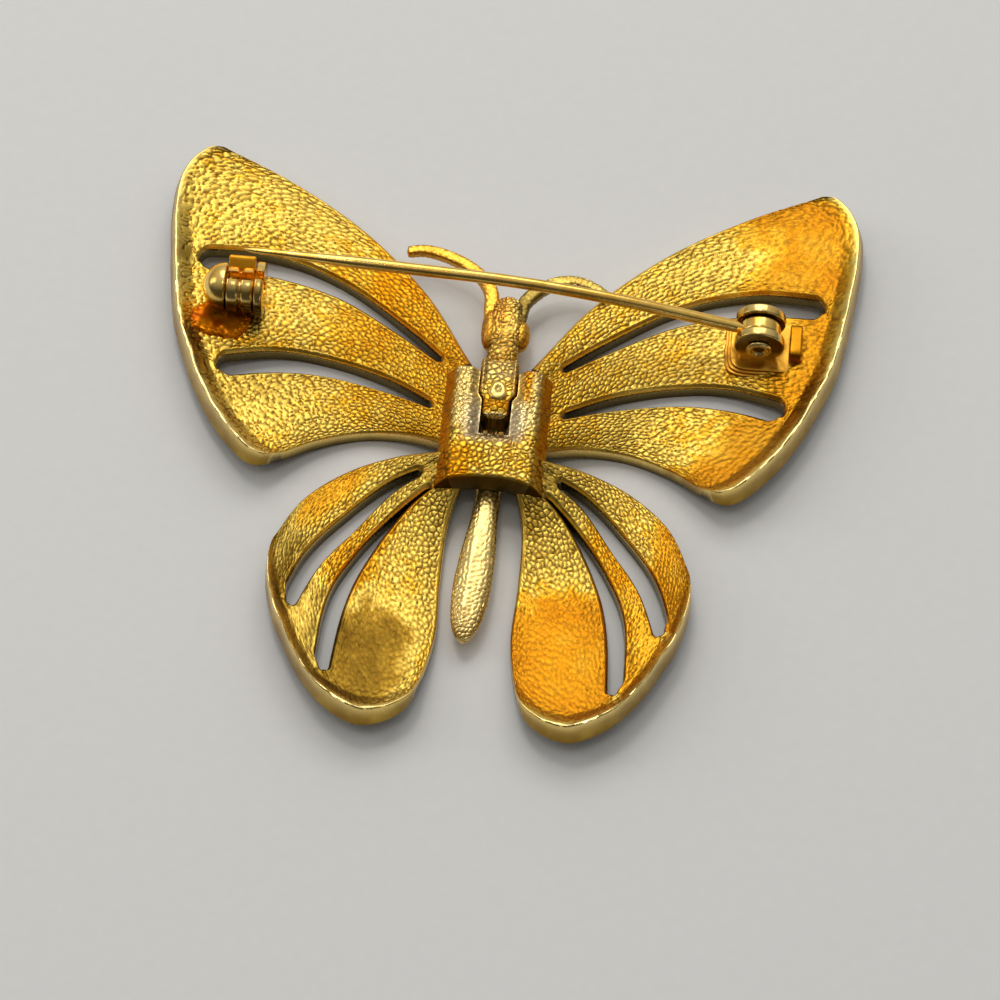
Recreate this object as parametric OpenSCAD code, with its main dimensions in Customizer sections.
// Cast butterfly brooch, lying on its front with the pin side up and the pin unlatched.
// Millimetres. +X points to the wing that carries the pin's hinge, +Y to the head,
// +Z up from the surface on which the brooch lies. The origin is under the middle of the outline.
// The waist line, where an upper and a lower wing meet, is the reference for all heights along Y.

/* [Wings] */
// width over both upper wings
span = 57.8; // [50:0.2:66]
// reach of the upper wing tips above the waist line
upper_reach = 27.2; // [24:0.2:32]
// reach of the lower wings below the waist line
lower_reach = 24.9; // [22:0.1:30]
// width over both lower wings
lower_span = 33.8; // [29:0.2:38]
// thickness of the cast sheet
sheet = 1.4; // [1.1:0.05:1.8]
// rise of each panel's middle over its edges
crown = 0.25; // [0:0.05:0.5]
// height of the outer wall where the rim is turned up in full
rim_wall = 2.4; // [2:0.1:3]
// width of the rim's top
rim_land = 0.5; // [0.3:0.05:0.8]
// width of the slope from the rim's top down to the sheet
rim_slope = 1.5; // [1:0.1:2]
// how far the outer wall leans out towards the front
rim_flare = 0.4; // [0.1:0.05:0.6]
// distance of the slots' outer ends from the outer edge
slot_margin = 2.5; // [2:0.1:3.5]
// height of the underside where the upper wings leave the block
upper_root = 1.7; // [1.3:0.05:2.2]
// height of the underside where the lower wings leave the block
lower_root = 2.2; // [1.8:0.05:2.5]
// height of the underside along the rims
edge_lift = 1.6; // [0.8:0.1:2]
// extra height of the underside at the upper wing tips
tip_lift = 0.4; // [0:0.1:1.2]

/* [Centre block] */
// width of the block at its foot
block_w = 8.8; // [8:0.1:9.6]
// length of the block above the waist line
block_top = 6.9; // [6:0.1:8]
// length of the block below the waist line
block_low = 3.8; // [3.4:0.1:4.2]
// height of the block's underside
block_seat = 2.5; // [2.4:0.05:2.7]
// height of the block's top
block_height = 4.8; // [4.4:0.1:5.4]
// lean of the block's sides, from foot to top
block_lean = 0.8; // [0.4:0.1:1.2]
// width of the channel that holds the body's tongue
channel_w = 3.2; // [2.9:0.1:3.8]
// height of the lower bar that closes the channel, above the waist line
channel_end = 0.8; // [0.4:0.1:1.2]
// rise of the arch in the block's lower edge
arch_rise = 0.7; // [0.3:0.1:0.9]

/* [Body] */
// clearance between the body casting and the wings casting
body_gap = 0.1; // [0.05:0.01:0.15]
// width of the abdomen
abdomen_w = 3; // [2.4:0.1:3.4]
// reach of the abdomen below the waist line
abdomen_reach = 16.9; // [14:0.1:20]
// lean of the abdomen towards the catch side, degrees
abdomen_lean = 3.4; // [0:0.2:5]
// width of the head
head_w = 3.3; // [2.8:0.1:3.8]
// height of the head's top above the waist line
head_reach = 15; // [13.8:0.1:16]
// width over both eyes
eyes_w = 4; // [3.6:0.1:4.4]
// diameter of the eyes
eye_d = 1.8; // [1.4:0.1:2.2]
// width of the neck
neck_w = 2.8; // [2.4:0.1:3.2]
// height of the back of the head and neck above the surface
body_back = 3.3; // [2.8:0.1:3.4]
// height of the back of the tongue that lies in the channel
tongue_back = 4; // [3.6:0.1:4.4]
// how far the tongue runs on over the head, past the block's edge
tongue_over = 1.3; // [1:0.1:1.6]
// length of the tongue's full width within the channel
tongue_full = 2.2; // [1.6:0.1:2.6]
// distance of the tongue's rounded end from the waist line
tongue_end = 2.4; // [2:0.1:2.8]
// height of the peg that rivets the body, above the surface
peg_top = 4.7; // [4.3:0.1:5.2]
// diameter of the peg
peg_d = 1.5; // [1.3:0.1:1.8]
// place of the peg above the waist line
peg_line = 4.9; // [4.2:0.1:5.2]
// reach of the feelers to each side
feeler_out = 8.9; // [7:0.1:9.6]
// rise of the feelers above the head's top
feeler_rise = 4.1; // [3:0.1:5]
// width of the feelers' ribbon at the root
feeler_w = 1.3; // [1:0.1:1.6]
// thickness of the feelers' ribbon
feeler_t = 0.9; // [0.7:0.05:1.2]
// height of the feelers' middle above the surface
feeler_z = 2.3; // [1.8:0.1:2.6]

/* [Pin] */
// distance of the closed pin's centre line from the waist line
pin_line = 12.6; // [12.2:0.1:13]
// height of the closed pin's centre line above the surface
pin_height = 4.4; // [4.35:0.01:4.6]
// wire diameter
wire_d = 1; // [0.8:0.05:1.05]
// diameter of the wire's blunted tip
tip_d = 0.4; // [0.3:0.05:0.6]
// length of the taper at the tip
taper = 9; // [5:0.5:14]
// slope of the bowed wire where it leaves the hinge, degrees
bow = 7; // [3:0.5:8]
// share of the wire's two reaches that is straight
straight = 0.5; // [0.3:0.05:0.7]
// angle at which the unlatched pin stands open, degrees
open_angle = 8; // [5:0.1:12]

/* [Hinge] */
// distance of the hinge's axis from the edge of the span
hinge_inset = 8.1; // [7.5:0.1:9]
// diameter of the round ears
ear_d = 4.1; // [3.9:0.05:4.2]
// thickness of each ear
ear_t = 0.8; // [0.6:0.05:1]
// length of the knuckle between the ears
knuckle_l = 1.3; // [1.1:0.1:1.6]
// diameter of the knuckle
knuckle_d = 3.4; // [2.4:0.1:3.5]
// clearance at each face of the knuckle
side_gap = 0.06; // [0.04:0.01:0.1]
// rivet diameter
rivet_d = 1; // [0.8:0.05:1.2]
// radial clearance of the ears and the knuckle on the rivet
rivet_gap = 0.03; // [0.02:0.01:0.08]
// diameter of the rivet's heads
rivet_head_d = 2.1; // [1.8:0.1:2.6]
// thickness of the rivet's heads
rivet_head_t = 0.35; // [0.25:0.05:0.5]
// width of the hinge's plate along Y
base_w = 5; // [4.6:0.1:5.4]
// reach of the hinge's plate from the axis towards the catch
base_near = 2.6; // [2.3:0.1:2.9]
// reach of the hinge's plate from the axis towards the wing's edge
base_far = 3.8; // [3.5:0.1:4.1]
// height of the stop behind the hinge, above the plate
stop_h = 1.4; // [1:0.1:1.7]

/* [Catch] */
// distance of the roller's middle from the edge of the span
catch_inset = 7; // [6.6:0.1:7.6]
// diameter of the roller and of the dome
roller_d = 4; // [3.8:0.05:4.1]
// length of the roller between dome and flange
roller_l = 2.3; // [2:0.1:2.6]
// clearance under the roller
roller_room = 0.12; // [0.08:0.01:0.15]
// diameter of the roller's two journals
journal_d = 2.5; // [2.4:0.05:2.7]
// length of the journal inside the dome
journal_l = 0.8; // [0.6:0.05:1]
// radial clearance of the journals
journal_gap = 0.05; // [0.03:0.01:0.08]
// clearance at each end of the roller
roller_gap = 0.06; // [0.04:0.01:0.1]
// room on each side of the wire in the bore of the roller
wire_room = 0.2; // [0.15:0.01:0.22]
// room on each side of the ground point in the slots
slot_room = 0.1; // [0.08:0.01:0.15]
// thickness of the flange
flange_t = 0.7; // [0.5:0.05:0.9]
// diameter of the flange
flange_d = 4.6; // [4.4:0.1:4.8]
// reach of the roller's thumb tab beyond its surface
tab_reach = 0.8; // [0.6:0.05:0.95]
// thickness of the thumb tab
tab_t = 0.7; // [0.5:0.05:0.8]
// width of the thumb tab along the roller
tab_w = 2.2; // [1.6:0.1:2.3]
// width of the catch's solder pad along Y
pad_w = 4.8; // [4.4:0.1:5.2]

/* [Hidden] */
$fn = 48;
half_span = span / 2;
lower_half = lower_span / 2;
block_half = block_w / 2;
// the waist line's place, so that the outline's middle is at the origin
waist = (lower_reach - upper_reach) / 2;
pin_y = waist + pin_line;
hinge_x = half_span - hinge_inset;
catch_x = -half_span + catch_inset;
dome_x = catch_x - roller_l / 2 - roller_gap;
flange_x = catch_x + roller_l / 2 + roller_gap;
bore_d = wire_d + 2 * wire_room;
slot_w = lerp(tip_d, wire_d, (roller_l + roller_gap + flange_t) / taper) + 2 * slot_room;
stem_l = hinge_x - catch_x + roller_l * 0.07;
// the wire's two reaches meet at its bend; the bend is an arc between two equal straight
// stretches, and the taper runs on from the second one, down to the closed pin's line
bow_reach = (stem_l - taper) / 2;
straight_l = bow_reach * straight;
tip_slope = asin(bow_reach * sin(bow) / (bow_reach + taper));
turn = bow + tip_slope;
bow_r = (bow_reach - straight_l) / tan(turn / 2);
// how far the straight stretches run into the bend, which stands proud of them by a hair
lap = 0.4;
bend_d = wire_d + 0.02;
stack = knuckle_l + 2 * side_gap + 2 * ear_t;
wing_top = sheet + edge_lift * 0.2;

// Each row of a rib table is a line from the wing's root to its outer edge: the leading edge,
// both sides of the first slot, both sides of the second slot and the trailing edge.
// Its columns are the root, as shares of block_half and of the block's length on that side,
// then the quarter, the middle, the three quarters and the outer end, as shares of the wing's
// half span and of its reach.
UPPER_RIBS = [
    [[0.55, 1.17], [0.234, 0.559], [0.433, 0.776], [0.656, 0.921], [0.879, 1]],
    [[0.82, 1.06], [0.28, 0.432], [0.493, 0.592], [0.716, 0.658], [0.986, 0.625]],
    [[0.82, 1.02], [0.308, 0.414], [0.5, 0.537], [0.727, 0.585], [0.979, 0.562]],
    [[0.86, 0.49], [0.315, 0.246], [0.502, 0.309], [0.668, 0.312], [0.896, 0.235]],
    [[0.86, 0.46], [0.315, 0.202], [0.502, 0.25], [0.664, 0.239], [0.869, 0.169]],
    [[0.86, 0.06], [0.249, 0.059], [0.374, 0.059], [0.498, 0.011], [0.623, -0.077]]
];
LOWER_RIBS = [
    [[0.82, 0.13], [0.45, 0.02], [0.68, 0.08], [0.879, 0.211], [0.991, 0.406]],
    [[0.8, 0.34], [0.456, 0.11], [0.669, 0.247], [0.834, 0.41], [0.947, 0.659]],
    [[0.77, 0.39], [0.438, 0.145], [0.615, 0.297], [0.769, 0.458], [0.899, 0.723]],
    [[0.68, 0.55], [0.408, 0.217], [0.592, 0.386], [0.701, 0.578], [0.722, 0.908]],
    [[0.64, 0.6], [0.373, 0.205], [0.544, 0.406], [0.627, 0.61], [0.663, 0.944]],
    [[0.46, 0.7], [0.175, 0.253], [0.183, 0.45], [0.178, 0.671], [0.243, 0.888]]
];
// Each row of an edge table is a point of the outer edge, from the leading to the trailing edge:
// share of the half span, share of the reach, share of the full rim, share of the tip's lift.
UPPER_EDGE = [
    [0.879, 1, 0.1, 1], [0.952, 0.974, 0.2, 1], [0.995, 0.886, 0.3, 0.9],
    [1, 0.754, 0.5, 0.6], [0.986, 0.625, 0.65, 0.4], [0.979, 0.562, 0.7, 0.3],
    [0.948, 0.382, 0.85, 0.1], [0.896, 0.235, 1, 0], [0.869, 0.169, 1, 0],
    [0.81, 0.059, 1, 0], [0.74, -0.033, 1, 0], [0.682, -0.081, 0.7, 0],
    [0.623, -0.077, 0.3, 0]
];
LOWER_EDGE = [
    [0.991, 0.406, 0.25, 0.3], [1, 0.53, 0.6, 0.2], [0.947, 0.659, 0.9, 0],
    [0.899, 0.723, 1, 0], [0.822, 0.819, 1, 0], [0.722, 0.908, 1, 0],
    [0.663, 0.944, 1, 0], [0.568, 0.984, 1, 0], [0.467, 1, 0.8, 0],
    [0.337, 0.968, 0.5, 0.1], [0.243, 0.888, 0.15, 0.2]
];
// the edge table's row at which each rib ends
UPPER_ENDS = [0, 4, 5, 7, 8, 12];
LOWER_ENDS = [0, 2, 3, 5, 6, 10];
// where along the ribs, from 0 to 4, the first and the second slot begin
UPPER_SLOTS = [0.3, 0.3];
LOWER_SLOTS = [0.5, 0.5];
// cells across each panel and each slot, and along the ribs up to the slots' outer ends
ACROSS = [7, 1, 4, 1, 7];
ALONG = 10;

function lerp(a, b, t) = a + (b - a) * t;
function clamp(x) = min(1, max(0, x));
function smooth(x) = clamp(x) * clamp(x) * (3 - 2 * clamp(x));
// a smooth curve through the rows of p, with s running from 0 to the last row
function curve(p, s) =
    let(n = len(p) - 1,
        i = min(n - 1, max(0, floor(s))),
        t = s - i,
        a = i > 0 ? p[i - 1] : 2 * p[0] - p[1],
        b = p[i],
        c = p[i + 1],
        d = i < n - 1 ? p[i + 2] : 2 * p[n] - p[n - 1])
    0.5 * (2 * b + (c - a) * t + (2 * a - 5 * b + 4 * c - d) * t * t
        + (3 * b - a - 3 * c + d) * t * t * t);
// a rib's points in millimetres: the root on the block, the others on the wing
function rib_points(rib, root_len, half, reach) =
    [for (k = [0:4]) k == 0
        ? [rib[0][0] * block_half, rib[0][1] * root_len]
        : [rib[k][0] * half, rib[k][1] * reach]];
function edge_points(edge, half, reach) =
    [for (e = edge) [e[0] * half, e[1] * reach, e[2], e[3]]];
// the lines across the wing: rib before the line and the share of the way to the next rib
LINES = [
    for (r = [0:4]) for (k = [0:ACROSS[r] - 1]) [r, k / ACROSS[r]],
    [4, 1]
];
function slot_of(r) = r == 1 ? 0 : 1;
// the underside's height: lowest at the middle of the wing, higher at the root and the rim
function low_z(u, root, edge) =
    u < 0.5 ? root * pow(1 - u / 0.5, 2) : edge * pow((u - 0.5) / 0.5, 2);

// one wing, as a closed mesh: side is 1 for the upper wing, which reaches up, and -1 for the lower
module wing(ribs, edge, ends, slots, root_len, half, reach, root_z, side) {
    rp = [for (r = ribs) rib_points(r, root_len, half, reach)];
    ep = edge_points(edge, half, reach);
    last = ALONG + 5;
    cols = last + 1;
    // place along the ribs of column k on the line v; d is the distance to the outer edge
    function tail(v) = norm(place(v, 4) - place(v, 3.5)) * 2;
    function rim_d(k) = [slot_margin, rim_land + rim_slope, rim_land + rim_slope / 2,
        rim_land, 0][k - ALONG - 1];
    function column(v, k, top) =
        let(out = 4 - slot_margin / tail(v), start = lerp(slots[0], slots[1], v[0] > 1 ? 1 : 0))
        k == 0 ? 0
        : k <= ALONG ? lerp(start, out, (k - 1) / ALONG)
        : k == last && top ? 4 - rim_flare / tail(v)
        : 4 - rim_d(k) / tail(v);
    function outer(v) = curve(ep, lerp(ends[v[0]], ends[v[0] + 1], v[1]));
    function place(v, s) =
        let(a = curve(rp[v[0]], s),
            b = curve(rp[v[0] + 1], s),
            chord = lerp(rp[v[0]][4], rp[v[0] + 1][4], v[1]),
            o = outer(v))
        lerp(a, b, v[1]) + ([o[0], o[1]] - chord) * pow(s / 4, 3);
    function low_at(v, s) = low_z(s / 4, root_z, edge_lift + tip_lift * outer(v)[3]);
    function top_at(v, k, s) =
        let(d = k > ALONG ? rim_d(k) : slot_margin,
            rise = smooth((rim_land + rim_slope - d) / rim_slope),
            arch = v[0] % 2 == 0 ? crown * 4 * v[1] * (1 - v[1]) : 0)
        low_at(v, s) + sheet + arch * (1 - rise) + outer(v)[2] * (rim_wall - sheet) * rise;
    top = [for (v = LINES) for (k = [0:last])
        let(s = column(v, k, true), p = place(v, s)) [p[0], side * p[1], top_at(v, k, s)]];
    low = [for (v = LINES) for (k = [0:last])
        let(s = column(v, k, false), p = place(v, s)) [p[0], side * p[1], low_at(v, s)]];
    nt = len(top);
    rows = len(LINES) - 1;
    function solid(j, k) =
        j >= 0 && j < rows && k >= 0 && k < last
        && !(LINES[j][0] % 2 == 1 && k >= 1 && k <= ALONG);
    function at(j, k) = j * cols + k;
    // the four sides of a cell: neighbour's step and the two corners, in order
    SIDES = [[0, -1, 0, 0, 1, 0], [0, 1, 1, 1, 0, 1], [-1, 0, 0, 1, 0, 0], [1, 0, 1, 0, 1, 1]];
    faces = [
        for (j = [0:rows - 1]) for (k = [0:last - 1]) if (solid(j, k)) each concat(
            [[at(j, k), at(j, k + 1), at(j + 1, k + 1)], [at(j, k), at(j + 1, k + 1), at(j + 1, k)]],
            [[nt + at(j, k), nt + at(j + 1, k + 1), nt + at(j, k + 1)],
             [nt + at(j, k), nt + at(j + 1, k), nt + at(j + 1, k + 1)]],
            [for (e = SIDES) if (!solid(j + e[0], k + e[1])) each
                let(a = at(j + e[2], k + e[3]), b = at(j + e[4], k + e[5]))
                [[a, b, nt + b], [a, nt + b, nt + a]]])
    ];
    polyhedron(points = concat(top, low), faces = faces, convexity = 8);
}

module wing_pair() {
    for (m = [0, 1]) mirror([m, 0, 0]) {
        wing(UPPER_RIBS, UPPER_EDGE, UPPER_ENDS, UPPER_SLOTS,
            block_top, half_span, upper_reach, upper_root, 1);
        wing(LOWER_RIBS, LOWER_EDGE, LOWER_ENDS, LOWER_SLOTS,
            block_low, lower_half, lower_reach, lower_root, -1);
    }
}

// extrusion along Y of an outline that is drawn as x and z
module along_y(from, to) {
    translate([0, to, 0]) rotate([90, 0, 0]) linear_extrude(to - from) children();
}

// the raised block between the wings, with the channel for the body's tongue
module centre_block() {
    foot = upper_root + sheet;
    shoulder = 0.35;
    top_half = block_half - block_lean;
    mouth = channel_w / 2;
    arch_r = (pow(mouth * 2, 2) + pow(arch_rise, 2)) / (2 * arch_rise);
    difference() {
        along_y(-block_low, block_top) polygon([
            [-block_half, block_seat], [block_half, block_seat], [block_half, foot],
            [top_half, block_height - shoulder], [top_half - shoulder, block_height],
            [shoulder - top_half, block_height], [-top_half, block_height - shoulder],
            [-block_half, foot]
        ]);
        along_y(channel_end, block_top + 1) polygon([
            [-mouth, 0], [mouth, 0], [mouth, block_seat + 1],
            [mouth + 0.4, block_height + 1], [-mouth - 0.4, block_height + 1],
            [-mouth, block_seat + 1]
        ]);
        translate([0, arch_rise - block_low - arch_r, 0])
            cylinder(h = block_height + 1, r = arch_r, $fn = 120);
    }
}

// two ears and a stop on a rounded plate, soldered to the wing; the ears are bored for the rivet
module hinge_bracket() {
    plate_top = pin_height - ear_d / 2;
    plate_t = plate_top - wing_top;
    difference() {
        union() {
            translate([hinge_x, pin_y, 0]) {
                translate([-base_near + 1, -base_w / 2, wing_top - 0.7])
                    cube([base_near + base_far - 2, base_w, plate_t + 0.7]);
                translate([-base_near, 1 - base_w / 2, wing_top - 0.7])
                    cube([base_near + base_far, base_w - 2, plate_t + 0.7]);
                for (x = [1 - base_near, base_far - 1]) for (y = [-1, 1])
                    translate([x, y * (base_w / 2 - 1), wing_top - 0.7])
                        cylinder(h = plate_t + 0.7, r = 1);
                translate([base_far - 1.3, -1.5, plate_top - 0.2]) cube([1, 3, stop_h + 0.2]);
            }
            for (y = [pin_y - stack / 2, pin_y + stack / 2 - ear_t]) {
                translate([hinge_x, y + ear_t, pin_height]) rotate([90, 0, 0])
                    cylinder(h = ear_t, d = ear_d);
                translate([hinge_x - ear_d * 0.36, y, plate_top - 0.2])
                    cube([ear_d * 0.72, ear_t, pin_height - plate_top]);
            }
        }
        translate([hinge_x, pin_y + stack / 2 + 1, pin_height]) rotate([90, 0, 0])
            cylinder(h = stack + 2, d = rivet_d + 2 * rivet_gap);
    }
}

// dome and flange that carry the roller, on a pad that is soldered to the wing
module catch_housing() {
    pad_top = pin_height - roller_d / 2 - roller_room;
    dome_l = roller_d / 2;
    difference() {
        union() {
            intersection() {
                translate([dome_x, pin_y, pin_height]) sphere(d = roller_d);
                translate([dome_x - roller_d, pin_y - roller_d, 0])
                    cube([roller_d, 2 * roller_d, 2 * roller_d]);
            }
            translate([dome_x - dome_l * 0.7, pin_y - 1.2, pad_top - 0.3])
                cube([dome_l * 0.7, 2.4, 1.3]);
            translate([flange_x, pin_y, pin_height]) rotate([0, 90, 0])
                cylinder(h = flange_t, d = flange_d);
            translate([flange_x, pin_y - 1.4, pad_top - 0.3]) cube([flange_t, 2.8, 1]);
            translate([dome_x - dome_l * 0.9, pin_y - pad_w / 2, wing_top - 0.7])
                cube([flange_x + flange_t - dome_x + dome_l * 0.9, pad_w, pad_top - wing_top + 0.7]);
        }
        translate([dome_x - journal_l - roller_gap, pin_y, pin_height]) rotate([0, 90, 0])
            cylinder(h = journal_l + roller_l + flange_t + 2, d = journal_d + 2 * journal_gap);
        translate([flange_x - 1, pin_y - slot_w / 2, pin_height])
            cube([flange_t + 2, slot_w, flange_d]);
    }
}

module wings() {
    color("goldenrod") {
        resize([span, 0, 0]) translate([0, waist, 0]) {
            wing_pair();
            centre_block();
        }
        hinge_bracket();
        catch_housing();
    }
}

// Each row is a section across the body: place along its stretch, from 0 to 1, then the
// width's share, the back's share of its height and the front's height as a share of the same.
ABDOMEN = [
    [0, 0.08, 0.72, 0.6], [0.025, 0.42, 0.84, 0.42], [0.09, 0.76, 0.94, 0.28],
    [0.2, 0.97, 1, 0.16], [0.33, 1, 1, 0.1], [0.5, 0.88, 1, 0.08],
    [0.65, 0.72, 0.96, 0.08], [0.8, 0.7, 0.92, 0.06], [1, 0.9, 0.92, 0.02]
];
THORAX = [
    [0, 0.9, 0.92, 0.02], [0.35, 1.5, 0.92, 0], [0.7, 1.4, 0.92, 0.02], [1, 1.1, 0.92, 0.1]
];
HEAD = [
    [0, 0.92, 0.94, 0.3], [0.14, 0.86, 0.93, 0.24], [0.32, 0.9, 0.96, 0.2],
    [0.5, 1, 1, 0.14], [0.78, 1, 1, 0.14], [0.92, 0.86, 0.94, 0.24], [1, 0.5, 0.82, 0.42]
];
// points of the feelers' middle lines, as shares of feeler_out and of feeler_rise over the head
LEFT_FEELER = [
    [0.15, -0.25], [0.18, 0.16], [0.29, 0.5], [0.46, 0.76], [0.65, 0.93], [0.83, 1], [1, 0.94]
];
RIGHT_FEELER = [
    [0.14, -0.25], [0.21, 0.02], [0.32, 0.32], [0.43, 0.47], [0.56, 0.53], [0.68, 0.5],
    [0.8, 0.39], [0.9, 0.24]
];

// closed mesh through rings of points, all of one length, from the first ring to the last
module rings(list) {
    n = len(list[0]);
    m = len(list);
    polyhedron(points = [for (r = list) each r], faces = concat(
        [[for (i = [n - 1:-1:0]) i]],
        [for (k = [0:m - 2]) for (i = [0:n - 1]) each
            let(a = k * n + i, b = k * n + (i + 1) % n)
            [[a, b, a + n], [b, b + n, a + n]]],
        [[for (i = [0:n - 1]) (m - 1) * n + i]]));
}
// the section at one place: half width w, front z0 and back z1, with a flatter back
function section(x, y, w, z0, z1, sides = 16) =
    [for (i = [0:sides - 1])
        let(a = 360 * (i + 0.5) / sides, c = cos(a), s = sin(a), mid = lerp(z0, z1, 0.62))
        [x + w * sign(c) * pow(abs(c), 0.75), y,
            s > 0 ? mid + (z1 - mid) * pow(s, 0.75) : mid + (mid - z0) * s]];

module abdomen() {
    steps = 26;
    top = (channel_end + abdomen_reach);
    back = block_seat - body_gap;
    rings([for (i = [0:steps])
        let(e = curve(ABDOMEN, 8 * i / steps),
            y = e[0] * top - abdomen_reach,
            x = sin(abdomen_lean) * min(0, y + block_low))
        section(x, waist + y, e[1] * abdomen_w / 2, e[3] * back, e[2] * back * 1.08)]);
}
module thorax() {
    steps = 10;
    back = block_seat - body_gap;
    rings([for (i = [0:steps])
        let(e = curve(THORAX, 3 * i / steps), y = lerp(-block_low / 2, block_top + 0.3, e[0]))
        section(0, waist + y, e[1] * abdomen_w / 2, e[3] * back, back)]);
}
module head() {
    steps = 18;
    rings([for (i = [0:steps])
        let(e = curve(HEAD, 6 * i / steps),
            y = lerp(block_top + body_gap * 3, head_reach, e[0]),
            w = lerp(neck_w, head_w, smooth((e[0] - 0.2) / 0.3)))
        section(0, waist + y, e[1] * w / 2, e[3] * body_back, e[2] * body_back)]);
    for (m = [-1, 1])
        translate([m * (eyes_w - eye_d) / 2, waist + lerp(block_top, head_reach, 0.62), body_back * 0.6])
            sphere(d = eye_d);
}
// the tongue that lies in the channel and the peg that is riveted over
module tongue() {
    wide = channel_w / 2 - body_gap;
    narrow = wide * 0.75;
    peg_y = waist + peg_line;
    shoulder_y = waist + block_top - tongue_full;
    tip = waist + tongue_end + narrow;
    foot = block_seat - body_gap - 0.6;
    translate([0, 0, foot]) linear_extrude(tongue_back - foot) {
        polygon([
            [-narrow, tip], [-narrow, shoulder_y - 0.6], [-wide, shoulder_y],
            [-wide, waist + block_top + tongue_over], [wide, waist + block_top + tongue_over],
            [wide, shoulder_y], [narrow, shoulder_y - 0.6], [narrow, tip]
        ]);
        translate([0, tip]) circle(r = narrow);
    }
    translate([0, peg_y, foot]) cylinder(h = peg_top - foot - 0.2, r1 = peg_d / 2 + 0.3, r2 = peg_d / 2);
    translate([0, peg_y, peg_top - 0.25]) cylinder(h = 0.25, r1 = peg_d / 2, r2 = peg_d / 2 - 0.2);
}
module feeler(path, side) {
    steps = 16;
    n = len(path) - 1;
    function middle(s) = let(p = curve(path, s))
        [side * p[0] * feeler_out, waist + head_reach + p[1] * feeler_rise];
    rings([for (i = [0:steps])
        let(s = n * i / steps,
            c = middle(s),
            d = middle(min(n, s + 0.05)) - middle(max(0, s - 0.05)),
            v = [d[1], -d[0]] / norm(d),
            w = feeler_w / 2 * lerp(1, 0.62, i / steps),
            z0 = feeler_z - feeler_t / 2,
            z1 = feeler_z + feeler_t / 2,
            q = [[-1, z0], [1, z0], [1, z1], [-1, z1]])
        [for (e = q) [c[0] + v[0] * w * e[0], c[1] + v[1] * w * e[0], e[1]]]]);
}
module body() {
    color("gold") {
        abdomen();
        thorax();
        head();
        tongue();
        feeler(LEFT_FEELER, -1);
        feeler(RIGHT_FEELER, 1);
    }
}

module hinge_rivet() {
    color("khaki") translate([hinge_x, pin_y, pin_height]) rotate([90, 0, 0]) {
        seat = stack / 2 + rivet_gap;
        translate([0, 0, -seat]) cylinder(h = 2 * seat, d = rivet_d);
        for (m = [0, 1]) mirror([0, 0, m]) difference() {
            translate([0, 0, seat]) cylinder(h = rivet_head_t, d1 = rivet_head_d, d2 = rivet_head_d * 0.86);
            translate([0, 0, seat + rivet_head_t - 0.12])
                cylinder(h = 1, d = rivet_head_d * 0.42);
        }
    }
}

// drawn closed, along -X from the hinge's axis, then turned open
module pin_stem() {
    color("lightyellow") translate([hinge_x, pin_y, pin_height]) rotate([0, open_angle, 0]) {
        difference() {
            union() {
                translate([0, knuckle_l / 2, 0]) rotate([90, 0, 0])
                    cylinder(h = knuckle_l, d = knuckle_d);
                rotate([0, bow - 90, 0]) cylinder(h = straight_l + lap, d = wire_d);
                translate([-straight_l * cos(bow), 0, straight_l * sin(bow)])
                    translate([-bow_r * sin(bow), 0, -bow_r * cos(bow)]) {
                        rotate([90, 0, 0]) rotate([0, 0, 90 - bow]) rotate_extrude(angle = turn)
                            translate([bow_r, 0]) circle(d = bend_d);
                        translate([-bow_r * sin(tip_slope), 0, bow_r * cos(tip_slope)])
                            rotate([0, -90 - tip_slope, 0]) {
                                translate([0, 0, -lap]) cylinder(h = straight_l + lap, d = wire_d);
                                translate([0, 0, straight_l]) cylinder(h = taper, d1 = wire_d, d2 = tip_d);
                            }
                    }
            }
            translate([0, knuckle_l, 0]) rotate([90, 0, 0])
                cylinder(h = 2 * knuckle_l, d = rivet_d + 2 * rivet_gap);
        }
    }
}

module catch_roller() {
    color("palegoldenrod") translate([catch_x, pin_y, pin_height]) rotate([0, 90, 0]) {
        half = roller_l / 2;
        groove = 0.14;
        cut_l = 2 * (journal_l + roller_l + flange_t);
        difference() {
            union() {
                for (z = [-half, groove / 2]) translate([0, 0, z])
                    cylinder(h = half - groove / 2, d = roller_d);
                translate([0, 0, -half]) cylinder(h = roller_l, d = roller_d - 0.3);
                translate([0, 0, -half - journal_l])
                    cylinder(h = journal_l + roller_l + roller_gap + flange_t, d = journal_d);
                rotate([0, 0, 142]) translate([0, -tab_t / 2, -tab_w / 2])
                    cube([roller_d / 2 + tab_reach, tab_t, tab_w]);
            }
            translate([0, 0, -cut_l / 2])
                cylinder(h = cut_l, d = bore_d);
            translate([-roller_d, -slot_w / 2, -cut_l / 2])
                cube([roller_d, slot_w, cut_l]);
        }
    }
}

wings();
body();
hinge_rivet();
pin_stem();
catch_roller();
